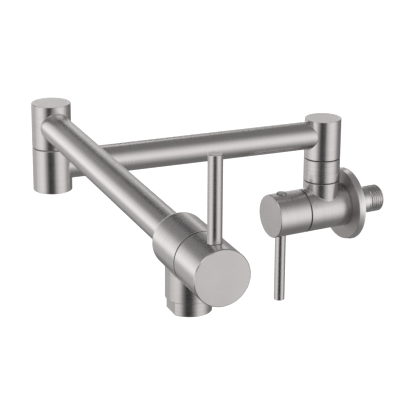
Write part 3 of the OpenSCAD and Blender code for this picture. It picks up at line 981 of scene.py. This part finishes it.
@dataclass
class WallEnd:
    """The fixed pieces at the wall: inlet, flange, valve body with its riser, and collar."""

    place: Placement
    riser: Placement
    inlet: Placement
    valve: Valve
    thread_start: float = 17.0
    thread_pitch: float = 1.814
    thread_depth: float = 0.85
    thread_sharpness: float = 2.2
    thread_chamfer: float = 1.1
    thread_rows: int = 14
    thread_segments: int = 96
    cone_back: float = 0.8
    cone_front: float = 0.3
    cone_edge: float = 0.2
    cone_end: float = 0.05
    shank_radius: float = 10.3
    waist_radius: float = 10.1
    bore_radius: float = 7.5
    bore_edge: float = 0.3
    socket_radius: float = 10.53
    socket_depth: float = 14.2
    gasket_margin: float = 2.4
    gasket_depth: float = 1.6
    rim_height: float = 1.2
    rim_edge: float = 0.4
    bevel_width: float = 0.9
    bevel_edge: float = 0.45
    back_edge: float = 0.8
    back_margin: float = 1.1
    branch_fillet: float = 0.7
    branch_levels: Sequence[float] = (0.04, 0.3, 0.65)
    post_radius: float = 8.05
    post_socket: float = 8.0
    half_columns: int = 24
    half_rows: int = 20
    half_height: float = 16.3

    def nipple(self) -> Object:
        """Builds the inlet with its pipe thread.

        Formula: over the thread the radius is the crest less the depth times half of one less
        the cosine of the phase, raised to the sharpness, where the phase is the height over the
        pitch less the angle. The depth fades in over the first pitch, and a cone from the end
        caps the radius.

        Returns:
            The inlet.
        """
        size = extent("inlet_nipple", self.inlet)
        seat = extent("wall_flange", self.inlet).low
        start, crest, pitch = self.thread_start, size.radius, self.thread_pitch
        angles = even_angles(self.thread_segments)
        height = column(np.linspace(start, size.high, round((size.high - start) / pitch * self.thread_rows)))
        phase = height / pitch * TAU - angles
        fade = np.clip((height - start) / pitch, 0, 1)
        radius = crest - fade * self.thread_depth * (0.5 - 0.5 * np.cos(phase)) ** self.thread_sharpness
        radius = np.minimum(radius, crest - (height - size.high + self.thread_chamfer))
        corners = stepped(self.bore_radius, size.high, (size.low, self.bore_edge), (crest, self.bore_edge),
                          seat, self.waist_radius, 0, self.shank_radius,
                          (start - self.cone_back, self.cone_edge), upright=True)
        corners += [(crest, start - self.cone_front, self.cone_edge), (crest, start - self.cone_end, 0)]
        rows = np.concatenate([turned(rounded_outline(corners), angles), polar(radius, angles, height)])
        return Shell("inlet_thread_nipple", self.inlet).grid(rows, loop=True).build()

    def flange(self) -> Object:
        """Builds the flange: a plate whose side leans in a little, with a soft edge at the face.

        Returns:
            The flange.
        """
        out = Placement.along(self.inlet.origin, -self.inlet.z, self.inlet.y)
        size = extent("wall_flange", out)
        corners = stepped(self.socket_radius, self.gasket_depth, size.radius - self.gasket_margin,
                          (0, SOFT_EDGE), (size.radius, SOFT_EDGE), (self.rim_height, self.rim_edge))
        corners += [(size.radius - self.bevel_width, size.high, self.bevel_edge),
                    (self.socket_radius, size.high, SOFT_EDGE)]
        return Shell("flange_plate", out).turn(corners, loop=True).build()

    def valve_body(self) -> Object:
        """Builds the valve body with the riser that branches from it through a fillet.

        Returns:
            The body.
        """
        radius = extent("wall_handle_hub", self.place).radius
        body = extent("wall_valve_body", self.place)
        top = extent("wall_valve_body", self.riser).high
        fillet = Fillet(radius, extent("riser_collar", self.riser).radius, self.branch_fillet)
        edge = self.valve.seam_edge
        opening = Opening(radius, TAU / 4, self.place.into(self.riser.origin)[2], self.half_columns,
                          self.half_rows, self.half_height, fillet.rim)
        shell = Shell("wall_body_shell", self.place)
        low, high = body.low + self.back_margin, body.high - REBATE - 2 * edge
        add_side(shell, low, high, [opening])
        corners = stepped(fillet.branch, top - 2 * edge, (top, edge), (self.post_radius, FINE_EDGE),
                          top - self.post_socket, 0, upright=True)
        rows = fillet.branch_rows(opening.turns(), self.branch_levels, corners)
        shell.grid(opening.frame_at(*np.moveaxis(rows, -1, 0)))
        socket = (self.socket_radius, body.low + self.socket_depth, SOFT_EDGE)
        shell.turn([*self.valve.back_corners(radius, body.low, self.back_edge, socket), (radius, low, 0)])
        shell.turn([*self.valve.front_corners(radius, body.high), (radius, high, 0)])
        return shell.build()

    def collar(self) -> Object:
        """Builds the plain ring between the riser and the first barrel.

        Returns:
            The collar.
        """
        size, edge = extent("riser_collar", self.riser), self.valve.seam_edge
        corners = stepped(self.post_radius, size.middle, (size.low, SOFT_EDGE), (size.radius, edge),
                          (size.high, edge), (self.post_radius, SOFT_EDGE), upright=True)
        return Shell("collar_sleeve", self.riser).turn(corners, loop=True).build()

    def build(self, shop: Workshop) -> None:
        """Builds and dresses the fixed pieces.

        Args:
            shop: The workshop that dresses them.
        """
        for piece, node, place, finish, part in (
                (self.nipple(), "inlet_nipple", self.inlet, Finish.BRIGHT, "inlet"),
                # The flange's plate finish paints a highlight on its rim and shade on its face.
                (self.flange(), "wall_flange", self.inlet, Finish.PLATE, "flange"),
                (self.valve_body(), "wall_valve_body", self.place, Finish.TURNED, "wall_body"),
                (self.collar(), "riser_collar", self.riser, Finish.STREAKED, "riser")):
            shop.hand_over(piece, node, "wall_valve", place, finish, part)


@dataclass
class Barrel:
    """An upright barrel of a swivel, turned about its own axis."""

    node: str
    body: str
    place: Placement
    edge: float = 0.3
    post_radius: float = 8.08
    post_floor: float = 9.0
    chamber_radius: float = 11.0
    well_radius: float = 7.0
    well_floor: float = 6.0
    socket_depth: float = 8.8

    def turning(self) -> Object:
        """Builds a barrel that turns on a post: a bore below and a chamber above.

        Returns:
            The barrel.
        """
        size = extent(self.node, self.place)
        corners = stepped(self.chamber_radius, size.high, self.post_floor, self.post_radius,
                          (size.low, FINE_EDGE), (size.radius, self.edge), (size.high, self.edge),
                          upright=True)
        return Shell(f"{self.node}_shell", self.place).turn(corners, loop=True).build()

    def standing(self) -> Object:
        """Builds a barrel that holds a post: a socket above, a well below it and a closed bottom.

        Returns:
            The barrel.
        """
        size = extent(self.node, self.place)
        corners = stepped(0, size.low, (size.radius, self.edge), (size.high, self.edge),
                          (self.post_radius, FINE_EDGE), size.high - self.socket_depth, self.well_radius,
                          size.low + self.well_floor, 0)
        return Shell(f"{self.node}_shell", self.place).turn(corners).build()


@dataclass
class ArmTube:
    """A straight tube, cut to the barrel that it starts from.

    The z axis of `place` runs along the tube, x is level and y points up. Where a length is
    given, it is the distance to the axis of an equal barrel that the far end is cut to.
    """

    node: str
    body: str
    place: Placement
    barrel: float
    length: Optional[float] = None
    wall: float = 1.5
    fillet: float = 0.35
    fillet_steps: int = 4
    mouth_edge: float = 0.2
    mouth_depth: float = 1.0
    segments: int = 112

    @property
    def radius(self) -> float:
        """The tube's radius, from the height of its solid's box."""
        low, high = box_mm(self.node)
        return (high[2] - low[2]) / 2

    def build(self) -> Object:
        """Builds the tube.

        Formula: a cut end is the rolled-ball blend of the tube and an upright barrel, with the
        tube as the branch, and the inner wall ends where it meets the same barrel, at the root
        of the barrel's radius squared less the level offset squared. A second cut end is the
        first one mirrored. All rows run around the tube in one closed loop of rows.

        Returns:
            The tube.
        """
        radius, turns = self.radius, even_angles(self.segments)
        inner, barrel = radius - self.wall, self.barrel + FINE_GAP
        start = Fillet(barrel, radius, self.fillet).rings(turns, self.fillet_steps)
        lateral = inner * np.cos(turns)
        start_inner = points_of(lateral, inner * np.sin(turns), np.sqrt(barrel ** 2 - lateral ** 2))[None]
        if self.length is None:
            mouth, edge = extent(self.node, self.place).high, self.mouth_edge
            back = mouth - self.mouth_depth
            corners = stepped(radius, back, (mouth, edge), (inner, edge), back, upright=True)
            end = turned(rounded_outline(corners), turns)
        else:
            end = np.concatenate([start[::-1], start_inner]) * (1, 1, -1) + (0, 0, self.length)
        side = start[-1] + (end[0] - start[-1]) * np.array(SIDE_SHARES)[:, None, None]
        rows = np.concatenate([start, side, end, start_inner])
        return Shell(f"{self.node}_pipe", self.place).grid(rows, loop=True).build()


@dataclass
class SpoutEnd:
    """The fixed pieces at the end of the outer arm: valve body, outlet and aerator."""

    place: Placement
    outlet: Placement
    valve: Valve
    tube_radius: float
    shoulder: float = 2.0
    gap: float = 0.05
    tube_grip: float = 8.2
    front_margin: float = 2.0
    branch_fillet: float = 0.6
    branch_levels: Sequence[float] = (0.04, 0.35, 0.7)
    cap_shares: Sequence[float] = (0, 0.35, 0.7, 0.9)
    bore_radius: float = 11.7
    bore_floor: float = 6.6
    flat_half: float = 11.4
    flat_sharp_angle: float = 17.0
    least_cosine: float = 0.01
    lip_radius: float = 9.05
    recess: float = 1.8
    insert_radius: float = 9.85
    edge: float = 0.3
    aerator_edge: float = 0.45

    def valve_body(self) -> Object:
        """Builds the spout's valve body with its rounded shoulder and the socket for the arm.

        Returns:
            The body.
        """
        radius = extent("spout_handle_hub", self.place).radius
        size = extent("spout_valve_body", self.place)
        end = (radius, size.high - self.front_margin, 0)
        socket = (self.tube_radius + self.gap, size.low + self.tube_grip, FINE_EDGE)
        shell = Shell("spout_body_shell", self.place)
        shell.turn([*self.valve.back_corners(radius, size.low, self.shoulder, socket), end])
        shell.turn([*self.valve.front_corners(radius, size.high), end])
        return shell.build()

    def outlet_tube(self) -> Object:
        """Builds the outlet.

        Formula: its top is the rolled-ball blend onto the valve body, closed over the bore by the
        body's own curve, where the height is the root of the body's radius squared less the
        lateral distance squared. Below that it is a plain turned tube.

        Returns:
            The outlet.
        """
        body = extent("spout_handle_hub", self.place).radius + FINE_GAP
        size = extent("outlet_tube", self.outlet)
        corners = stepped(size.radius, size.high - 2 * self.edge, (size.high, self.edge),
                          (self.bore_radius, SOFT_EDGE), size.high - self.bore_floor, 0, upright=True)
        fillet = Fillet(body, size.radius, self.branch_fillet)
        rows = fillet.branch_rows(even_angles(), self.branch_levels, corners)
        lateral, along = (rows[0][:, axis] * column(self.cap_shares) for axis in (0, 1))
        cap = points_of(lateral, along, np.sqrt(body ** 2 - lateral ** 2))
        return Shell("outlet_spout", self.outlet).grid(np.concatenate([cap, rows])).build()

    def aerator(self) -> Object:
        """Builds the aerator's ring with its two wrench flats.

        Formula: a ring point's radius is the lesser of its turned radius and the flats' half
        distance over the size of its cosine, so the flats cut the ring square to the x axis.

        Returns:
            The aerator's ring.
        """
        size, mouth = (extent(node, self.outlet) for node in ("aerator_housing", "outlet_tube"))
        outline = rounded_outline(stepped(
            self.insert_radius, size.low, self.bore_radius - self.gap, mouth.high,
            (size.radius, FINE_EDGE), (size.high, self.aerator_edge), (self.lip_radius, self.edge),
            size.high - self.recess, self.insert_radius))
        turn = math.acos(self.flat_half / size.radius)
        angles = np.sort([*even_angles(), turn, math.pi - turn, math.pi + turn, TAU - turn])
        radius, height = outline[:, :1], outline[:, 1:]
        limit = self.flat_half / np.maximum(np.abs(np.cos(angles)), self.least_cosine)
        inset = np.maximum(radius - size.radius, -self.aerator_edge)
        cut = np.minimum(radius, np.where(radius > self.bore_radius, limit + inset, np.inf))
        shell = Shell("aerator_ring", self.outlet).grid(polar(cut, angles, height), loop=True)
        return shell.build(self.flat_sharp_angle)

    def build(self, shop: Workshop) -> None:
        """Builds and dresses the spout's pieces.

        Args:
            shop: The workshop that dresses them.
        """
        for piece, node, place, part in ((self.valve_body(), "spout_valve_body", self.place, "spout_body"),
                                         (self.outlet_tube(), "outlet_tube", self.outlet, "outlet"),
                                         (self.aerator(), "aerator_housing", self.outlet, "outlet")):
            shop.hand_over(piece, node, "outer_arm", place, part=part)


# Studio

@dataclass(frozen=True)
class Panel:
    """A soft rectangle of light or shade far around the part, in degrees seen from it."""

    azimuth: float
    elevation: float
    half_width: float
    half_height: float
    soft_width: float
    soft_height: float
    strength: float


@dataclass(frozen=True)
class Studio:
    """The camera, the pale floor and the soft light around the part.

    The camera's place is in millimetres and its angles are in degrees. The floor is in metres.
    """

    camera_mm: Sequence[float] = (1021.47, -687.64, 419.33)
    yaw: float = 61.08
    pitch: float = 19.09
    roll: float = 0.40
    focal_px: float = 1655.91
    frame_px: float = 416.0
    sensor_mm: float = 36.0
    clip: Sequence[float] = (0.01, 100.0)
    floor_height: float = -0.30
    floor_half: float = 6.0
    floor_tones: Sequence[float] = (0.80, 0.84)
    floor_clouds: float = 1.5
    floor_roughness: float = 0.9
    floor_glow: float = 0.86
    base_light: float = 0.21
    panels: Sequence[Panel] = (
        Panel(24, -2, 13, 6, 53, 56, 0.8),
        Panel(-89, -10, 7, 10, 44, 14, 0.84),
        Panel(-174, 2, 29, 8, 5, 11, 0.70),
        Panel(160, -1, 14, 18, 6, 7, 0.36),
        Panel(153, 34, 7, 16, 5, 9, 1.15),
        Panel(-147, -15, 28, 13, 7, 11, 0.31),
        Panel(-68, 42, 22, 8, 14, 12, 0.90),
    )
    flags: Sequence[Panel] = (
        Panel(-28, -26, 17, 14, 4, 8, 0.85),
        Panel(159, 27, 6, 7, 17, 8, 0.93),
        Panel(-27, -45, 25, 21, 24, 11, 0.85),
    )

    def camera(self) -> None:
        """Places the camera, with the photograph's lens.

        Formula: it looks along (-sin yaw cos pitch, cos yaw cos pitch, -sin pitch), and its level
        right and its upright are turned about that line by the roll.
        """
        yaw, pitch, roll = (math.radians(angle) for angle in (self.yaw, self.pitch, self.roll))
        level = np.array([math.cos(yaw), math.sin(yaw), 0.0])
        ahead = np.array([-level[1] * math.cos(pitch), level[0] * math.cos(pitch), -math.sin(pitch)])
        upright = np.cross(level, ahead)
        turn = np.eye(4)
        turn[:3, 0] = level * math.cos(roll) + upright * math.sin(roll)
        turn[:3, 1] = upright * math.cos(roll) - level * math.sin(roll)
        turn[:3, 2] = -ahead
        turn[:3, 3] = np.array(self.camera_mm) * MM
        data = bpy.data.cameras.new("camera")
        data.sensor_width = self.sensor_mm
        data.lens = self.sensor_mm * self.focal_px / self.frame_px
        data.clip_start, data.clip_end = self.clip
        made = linked("camera", data)
        made.matrix_world = Matrix(turn.tolist())
        bpy.context.scene.camera = made

    def floor(self) -> None:
        """Lays a pale floor that the camera sees and the steel doesn't mirror."""
        corners = [(x * self.floor_half, y * self.floor_half, self.floor_height)
                   for x, y in ((-1, -1), (1, -1), (1, 1), (-1, 1))]
        mesh = bpy.data.meshes.new("studio_floor")
        mesh.from_pydata(corners, [], [(0, 1, 2, 3)])
        made = linked("studio_floor", mesh)
        material, graph = new_material("studio_paper")
        cloud = graph.noise(object_vector(graph), (self.floor_clouds,) * 3, COARSE_DETAIL)
        paper = graph.mix(cloud + NOISE_MIDDLE, *((tone,) * 3 for tone in self.floor_tones))
        graph.surface(Base_Color=paper, Roughness=self.floor_roughness, Specular_IOR_Level=0.0,
                      Emission_Color=WHITE, Emission_Strength=self.floor_glow)
        mesh.materials.append(material)
        made.visible_glossy = False

    def light(self) -> None:
        """Lights the part with soft panels and flags around it.

        Formula: a panel's share is the product of two smooth windows, one in the azimuth from its
        middle and one in the elevation from its middle. The light is the base plus each panel's
        strength times its share, times one less each flag's strength times its share.
        """
        world = bpy.data.worlds.new("studio_light")
        world.use_nodes = True
        graph = Graph(world.node_tree)
        x, y, z = graph.split(graph.node("TexCoord").outputs["Generated"])
        elevation = graph.math("ARCSINE", z) * math.degrees(1)

        def share(panel: Panel) -> Value:
            """Gives how much of a panel a direction meets.

            Args:
                panel: The panel.

            Returns:
                The share, from 0 to 1.
            """
            cos, sin = math.cos(math.radians(panel.azimuth)), math.sin(math.radians(panel.azimuth))
            azimuth = graph.math("ARCTAN2", y * cos - x * sin, x * cos + y * sin) * math.degrees(1)
            wide, tall = panel.half_width, panel.half_height
            return abs(azimuth).ease(wide + panel.soft_width, wide) * \
                abs(elevation - panel.elevation).ease(tall + panel.soft_height, tall)

        total: Number = self.base_light
        for panel in self.panels:
            total = total + share(panel) * panel.strength
        for flag in self.flags:
            total = total * (1 - share(flag) * flag.strength)
        background = graph.node("Background", {"Color": WHITE, "Strength": total})
        graph.node("OutputWorld", {"Surface": background.outputs[0]})
        bpy.context.scene.world = world
        bpy.context.scene.view_settings.view_transform = "Standard"

    def build(self) -> None:
        """Sets up the camera, the floor and the light."""
        self.camera()
        self.floor()
        self.light()


# The whole part

class PotFiller:
    """The wall mounted pot filler, built from its joints outwards."""

    def __init__(self) -> None:
        """Finds the axes of each sub-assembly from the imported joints."""
        wall_seam, roomward = joint_line("wall_handle_turn")
        riser, elbow = (joint_line(name)[0] for name in ("inner_arm_swing", "outer_arm_swing"))
        seam, outer_axis = joint_line("spout_handle_turn")
        outer_axis = unit(outer_axis)
        inner_run = (elbow - riser) * (1, 1, 0)
        inner_height = sum(box_mm("inner_tube"))[2] / 2
        outlet = sum(box_mm("aerator_housing")) / 2
        self.shop = Workshop()
        self.inner_length = float(np.linalg.norm(inner_run))
        self.wall = Placement.along(wall_seam, roomward, UP)
        self.wall_handle = Placement.along(wall_seam, roomward, DOWN)
        self.inlet = Placement.along((0, 0, 0), -roomward, UP)
        self.riser_seam = Placement.along(riser, UP, -roomward)
        self.riser = Placement.along((*riser[:2], 0), UP, -roomward)
        self.elbow = Placement.along(elbow, UP, outer_axis)
        self.spout = Placement.along(seam, outer_axis, UP)
        self.inner_run = Placement.along((*riser[:2], inner_height), unit(inner_run), UP)
        self.outer_run = Placement.along((*elbow[:2], seam[2]), outer_axis, UP)
        self.outlet = Placement.along((*outlet[:2], seam[2]), DOWN, outer_axis)

    def build(self) -> None:
        """Builds every sub-assembly in order, then dresses the CAD nodes that stay."""
        valve = Valve()
        WallEnd(self.wall, self.riser, self.inlet, valve).build(self.shop)
        Handle("wall", self.wall_handle).build(self.shop)
        for barrel, make in ((Barrel("inner_barrel", "inner_arm", self.riser_seam), Barrel.turning),
                             (Barrel("elbow_upper_barrel", "outer_arm", self.elbow), Barrel.turning),
                             (Barrel("elbow_lower_barrel", "inner_arm", self.elbow), Barrel.standing)):
            self.shop.hand_over(make(barrel), barrel.node, barrel.body, barrel.place, Finish.SATIN)
        radius = extent("riser_collar", self.riser).radius
        inner = ArmTube("inner_tube", "inner_arm", self.inner_run, radius, self.inner_length)
        outer = ArmTube("outer_tube", "outer_arm", self.outer_run, radius)
        for tube in (inner, outer):
            self.shop.hand_over(tube.build(), tube.node, tube.body, tube.place, Finish.DRAWN)
        SpoutEnd(self.spout, self.outlet, valve, outer.radius).build(self.shop)
        Handle("spout", self.spout).build(self.shop)
        self._dress_carried_nodes()

    def _dress_carried_nodes(self) -> None:
        """Gives each CAD node that stays the finish of its slot, with the brush lines of its axis."""
        steel_axes = {"inner_barrel_cap": self.riser_seam, "elbow_cap": self.elbow}
        for part in frame["record"]["subparts"]:
            node = frame["nodes"][part["node"]]
            if node.hide_render:
                continue
            if node.name in steel_axes:
                place = steel_axes[node.name]
                material = self.shop.material(f"brushed_steel_{node.name}", Finish.TURNED, place)
            else:
                name = "pale_plastic" if node.name == "elbow_washer" else part["material_slot"]
                material = self.shop.material(name, Finish[name.upper()])
            for slot in node.material_slots:
                slot.material = material
            log.info("dressed %s", node.name)


def main() -> None:
    """Builds the studio and the part, and reports each piece."""
    logging.basicConfig(level=logging.INFO, format="%(message)s")
    Studio().build()
    PotFiller().build()


if __name__ == "__main__":
    main()
